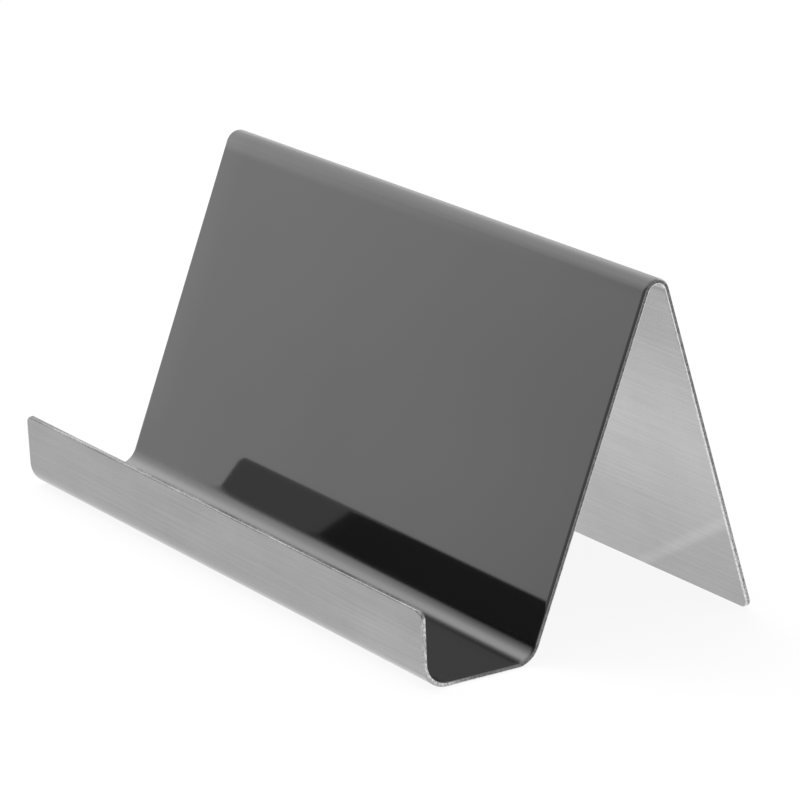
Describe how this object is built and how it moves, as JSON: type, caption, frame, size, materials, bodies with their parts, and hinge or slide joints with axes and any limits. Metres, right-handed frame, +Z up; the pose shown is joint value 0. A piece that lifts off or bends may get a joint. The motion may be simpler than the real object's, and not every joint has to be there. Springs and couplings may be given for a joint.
{
  "type": "business card holder stand",
  "caption": "Desk stand for business cards, folded from one steel sheet: a low front lip and tray, a sloping backrest, and a rear leg beyond the ridge.",
  "frame": {"origin": "on the desk, under the middle of the stand's box", "axes": "+X along the folds, to the right of someone facing the cards; +Y from the card lip towards the rear leg; +Z up"},
  "size_m": [0.1, 0.0598, 0.0519],
  "materials": {
    "stainless_sheet": "polished on the upper side, which faces the cards, brushed along the folds on the lower side, sheared at the edges"
  },
  "bodies": {
    "root": {"bent_sheet": "stainless_sheet"}
  },
  "joints": []
}
